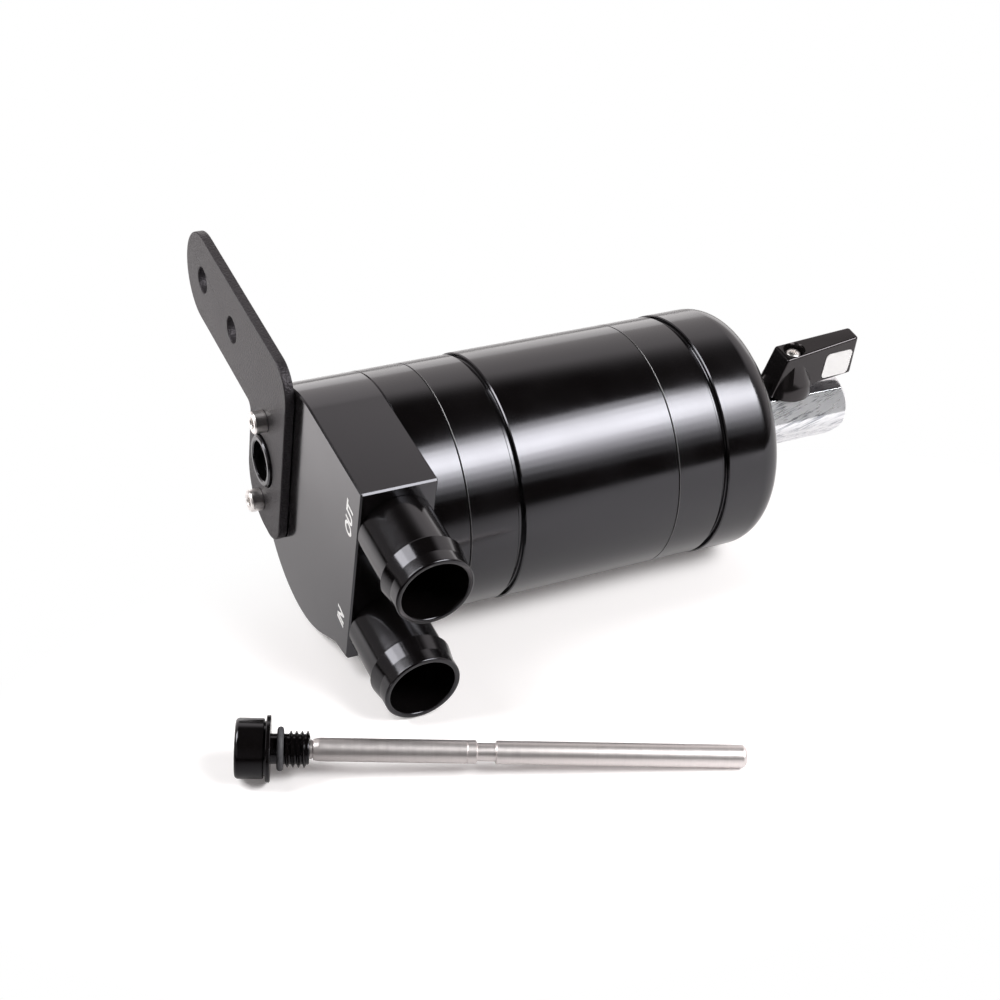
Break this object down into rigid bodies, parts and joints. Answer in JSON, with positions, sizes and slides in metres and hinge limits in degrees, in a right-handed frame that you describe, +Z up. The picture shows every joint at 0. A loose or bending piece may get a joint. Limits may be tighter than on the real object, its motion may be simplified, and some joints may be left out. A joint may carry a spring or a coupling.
{
  "type": "oil catch can",
  "caption": "Cylindrical black aluminium oil catch can with hose tails, a flat mounting bracket, a dipstick laid beside it and a lever-operated drain ball valve.",
  "frame": {"origin": "centre of the base of the bounding box, on the floor that the can and its dipstick lie on", "axes": "+X along the can from the head to the drain valve, -Y the side the hose tails point to, +Z up"},
  "size_m": [0.2377, 0.2124, 0.0973],
  "materials": {
    "anodised_aluminium": "turned and milled, black anodised, satin gloss",
    "powder_coat": "fine-textured black powder coat",
    "stainless_steel": "bright machined",
    "bare_aluminium": "drawn and turned, bare",
    "rubber": "moulded, matt",
    "plated_brass": "nickel plated, brushed",
    "seat_plastic": "turned, white",
    "lever_plastic": "moulded black, semi-gloss",
    "label_white": "plain white sticker"
  },
  "bodies": {
    "can": {"head": "anodised_aluminium", "upper_collar": "anodised_aluminium", "body_tube": "anodised_aluminium", "end_cap": "anodised_aluminium", "head_o_ring": "rubber", "tube_o_ring": "rubber", "cap_o_ring": "rubber", "hose_tail_in": "anodised_aluminium", "hose_tail_out": "anodised_aluminium", "hose_tail_o_rings": "rubber", "bracket": "powder_coat", "bracket_screws": "stainless_steel", "baffle_plate": "stainless_steel", "dipstick_cap": "anodised_aluminium", "dipstick_o_ring": "rubber", "dipstick_rod": "bare_aluminium", "drain_washer": "bare_aluminium", "valve_body": "plated_brass", "valve_end_nut": "plated_brass", "valve_seats": "seat_plastic"},
    "lever": {"valve_handle": "lever_plastic", "handle_screw": "stainless_steel", "handle_label": "label_white", "valve_stem": "plated_brass", "valve_stem_seal": "rubber", "valve_ball": "plated_brass"}
  },
  "joints": [
    {"name": "valve_lever", "type": "hinge", "parent": "can", "child": "lever", "pos_m": [0.09545, 0.01256, 0.0386], "axis": [0, 0.2095, -0.9778], "range_deg": [0, 90]}
  ]
}
